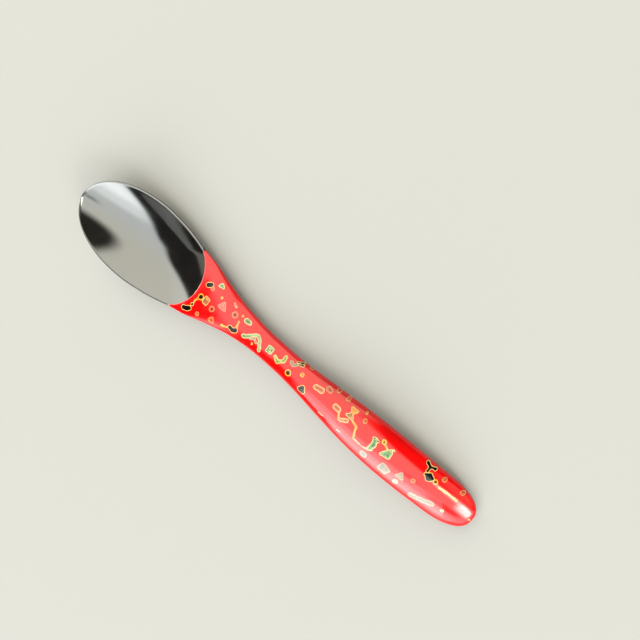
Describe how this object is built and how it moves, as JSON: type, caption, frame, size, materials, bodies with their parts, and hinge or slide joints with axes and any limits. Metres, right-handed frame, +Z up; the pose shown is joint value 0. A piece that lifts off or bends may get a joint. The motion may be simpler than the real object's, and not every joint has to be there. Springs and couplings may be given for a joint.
{
  "type": "lacquered wooden spoon",
  "caption": "Carved wooden spoon in gloss lacquer: deep black oval bowl and a curved, tapering red handle with multicoloured ringed spots polished flush.",
  "frame": {"origin": "centre of the bounding box on the plane the spoon rests on", "axes": "+X from the bowl's tip to the handle's end, +Z up out of the open bowl, +Y across the spoon"},
  "size_m": [0.185, 0.0348, 0.0142],
  "materials": {
    "wood": "sanded, under lacquer",
    "black_lacquer": "polished gloss lacquer",
    "red_lacquer": "polished gloss lacquer",
    "black_spot_lacquer": "polished gloss lacquer",
    "brown_spot_lacquer": "polished gloss lacquer",
    "green_spot_lacquer": "polished gloss lacquer",
    "orange_spot_lacquer": "polished gloss lacquer",
    "pink_spot_lacquer": "polished gloss lacquer",
    "yellow_spot_lacquer": "polished gloss lacquer"
  },
  "bodies": {
    "root": {"wood_core": "wood", "bowl_inner_coat": "black_lacquer", "bowl_outer_coat": "black_lacquer", "handle_red_coat": "red_lacquer", "pattern_spot_01": "black_spot_lacquer", "pattern_spot_02": "black_spot_lacquer", "pattern_spot_03": "yellow_spot_lacquer", "pattern_spot_04": "brown_spot_lacquer", "pattern_spot_05": "brown_spot_lacquer", "pattern_spot_06": "brown_spot_lacquer", "pattern_spot_07": "brown_spot_lacquer", "pattern_spot_08": "pink_spot_lacquer", "pattern_spot_09": "yellow_spot_lacquer", "pattern_spot_10": "black_spot_lacquer", "pattern_spot_11": "green_spot_lacquer", "pattern_spot_12": "yellow_spot_lacquer", "pattern_spot_13": "brown_spot_lacquer", "pattern_spot_14": "green_spot_lacquer", "pattern_spot_15": "black_spot_lacquer", "pattern_spot_16": "orange_spot_lacquer", "pattern_spot_17": "green_spot_lacquer", "pattern_spot_18": "yellow_spot_lacquer", "pattern_spot_19": "green_spot_lacquer", "pattern_spot_20": "green_spot_lacquer", "pattern_spot_21": "yellow_spot_lacquer", "pattern_spot_22": "black_spot_lacquer", "pattern_spot_23": "yellow_spot_lacquer", "pattern_spot_24": "black_spot_lacquer", "pattern_spot_25": "pink_spot_lacquer", "pattern_spot_26": "black_spot_lacquer", "pattern_spot_27": "black_spot_lacquer", "pattern_spot_28": "orange_spot_lacquer", "pattern_spot_29": "yellow_spot_lacquer", "pattern_spot_30": "orange_spot_lacquer", "pattern_spot_31": "orange_spot_lacquer", "pattern_spot_32": "orange_spot_lacquer", "pattern_spot_33": "green_spot_lacquer", "pattern_spot_34": "black_spot_lacquer", "pattern_spot_35": "green_spot_lacquer", "pattern_spot_36": "green_spot_lacquer", "pattern_spot_37": "green_spot_lacquer", "pattern_spot_38": "green_spot_lacquer", "pattern_spot_39": "green_spot_lacquer", "pattern_spot_40": "green_spot_lacquer", "pattern_spot_41": "green_spot_lacquer", "pattern_spot_42": "black_spot_lacquer", "pattern_spot_43": "black_spot_lacquer", "pattern_spot_44": "orange_spot_lacquer", "pattern_spot_45": "green_spot_lacquer", "pattern_spot_46": "yellow_spot_lacquer", "pattern_spot_47": "black_spot_lacquer", "pattern_spot_48": "green_spot_lacquer", "pattern_spot_49": "orange_spot_lacquer", "pattern_spot_50": "green_spot_lacquer", "pattern_spot_51": "black_spot_lacquer", "pattern_spot_52": "yellow_spot_lacquer", "pattern_spot_53": "green_spot_lacquer", "pattern_spot_54": "orange_spot_lacquer"}
  },
  "joints": []
}
